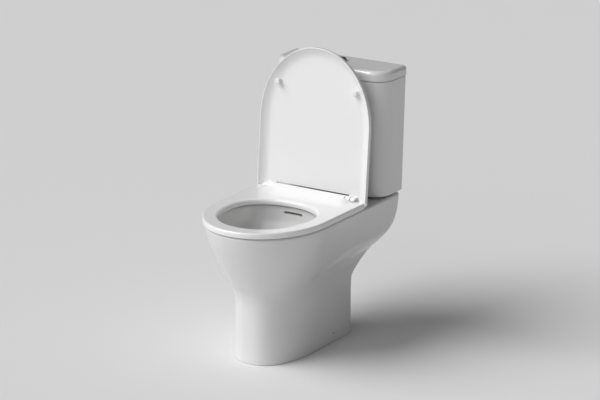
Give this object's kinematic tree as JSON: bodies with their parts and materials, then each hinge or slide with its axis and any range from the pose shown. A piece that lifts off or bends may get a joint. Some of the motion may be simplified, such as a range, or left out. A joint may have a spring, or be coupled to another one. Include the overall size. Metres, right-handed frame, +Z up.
{
  "type": "close coupled toilet",
  "caption": "Close coupled toilet: a flared china pan with a trap, a tapered cistern, a dual flush valve and a hinged seat and lid.",
  "frame": {"origin": "on the floor, under the middle of the whole object's box: halfway between the seat's front tip and the wall", "axes": "+Z up, -Y towards the user, +Y into the wall, +X to the right of someone who faces the toilet"},
  "size_m": [0.383, 0.643, 0.8499],
  "materials": {
    "china": "glossy",
    "seat_plastic": "glossy",
    "buffer_rubber": "soft",
    "hinge_metal": "polished",
    "steel": "satin",
    "black_rubber": "matte",
    "red_rubber": "matte",
    "foam_rubber": "matte",
    "valve_plastic": "satin",
    "valve_blue": "satin",
    "cap_plastic": "glossy",
    "chrome": "polished",
    "brass": "satin"
  },
  "bodies": {
    "pan": {"pan": "china", "pan_bowl": "china", "pan_trapway": "china", "pan_flush_duct": "china", "floor_brackets": "valve_plastic", "side_fixing_screws": "steel", "side_screw_caps": "cap_plastic", "hinge_bases": "seat_plastic", "hinge_pins": "hinge_metal", "hinge_studs": "steel", "stud_cone_washers": "black_rubber", "stud_wing_nuts": "valve_plastic", "cistern": "china", "coupling_plate": "steel", "doughnut_washer": "foam_rubber", "coupling_bolts": "steel", "coupling_bolt_washers": "black_rubber", "coupling_wing_nuts": "brass", "flush_valve_base": "valve_plastic", "flush_valve_cage": "valve_plastic", "flush_valve_head": "valve_blue", "flush_valve_washer": "black_rubber", "flush_valve_back_nut": "valve_plastic", "fill_valve_column": "valve_plastic", "fill_valve_head": "valve_blue", "lever_pivot_pin": "steel", "fill_valve_washer": "black_rubber", "fill_valve_back_nut": "valve_plastic"},
    "seat": {"seat_ring": "seat_plastic", "seat_buffers": "buffer_rubber"},
    "lid": {"seat_lid": "seat_plastic", "lid_buffers": "buffer_rubber"},
    "cistern_cover": {"cistern_lid": "china", "button_bezel": "chrome", "bezel_nut": "valve_plastic"},
    "full_button": {"full_flush_button": "chrome", "full_push_rod": "valve_plastic"},
    "half_button": {"half_flush_button": "chrome", "half_push_rod": "valve_plastic"},
    "valve_lift": {"overflow_tube": "valve_plastic", "flush_seal": "red_rubber"},
    "float": {"fill_valve_float": "valve_plastic", "float_rod": "valve_plastic"},
    "float_lever": {"fill_valve_lever": "valve_plastic"}
  },
  "joints": [
    {"name": "lid_hinge", "type": "hinge", "parent": "pan", "child": "lid", "pos_m": [0, 0.1015, 0.4266], "axis": [1, 0, 0], "range_deg": [0, 95]},
    {"name": "seat_hinge", "type": "hinge", "parent": "pan", "child": "seat", "pos_m": [0, 0.1015, 0.4266], "axis": [1, 0, 0], "range_deg": [-93, 0]},
    {"name": "cistern_lid_lift", "type": "slide", "parent": "pan", "child": "cistern_cover", "axis": [0, 0, 1], "range_m": [0, 0.06]},
    {"name": "full_flush_press", "type": "slide", "parent": "cistern_cover", "child": "full_button", "axis": [0, 0, -1], "range_m": [0, 0.007], "stiffness_N_per_m": 250, "springref_m": -0.012},
    {"name": "half_flush_press", "type": "slide", "parent": "cistern_cover", "child": "half_button", "axis": [0, 0, -1], "range_m": [0, 0.007], "stiffness_N_per_m": 250, "springref_m": -0.004},
    {"name": "flush_valve_lift", "type": "slide", "parent": "pan", "child": "valve_lift", "axis": [0, 0, 1], "range_m": [0, 0.014]},
    {"name": "float_slide", "type": "slide", "parent": "pan", "child": "float", "axis": [0, 0, 1], "range_m": [0, 0.012]},
    {"name": "float_lever_hinge", "type": "hinge", "parent": "pan", "child": "float_lever", "pos_m": [-0.13, 0.2695, 0.668], "axis": [0, 1, 0], "range_deg": [-31, 0]}
  ],
  "couplings": [
    {"joint": "flush_valve_lift", "follows": "full_flush_press", "ratio": 2},
    {"joint": "float_lever_hinge", "follows": "float_slide", "rad_per_m": -43}
  ]
}
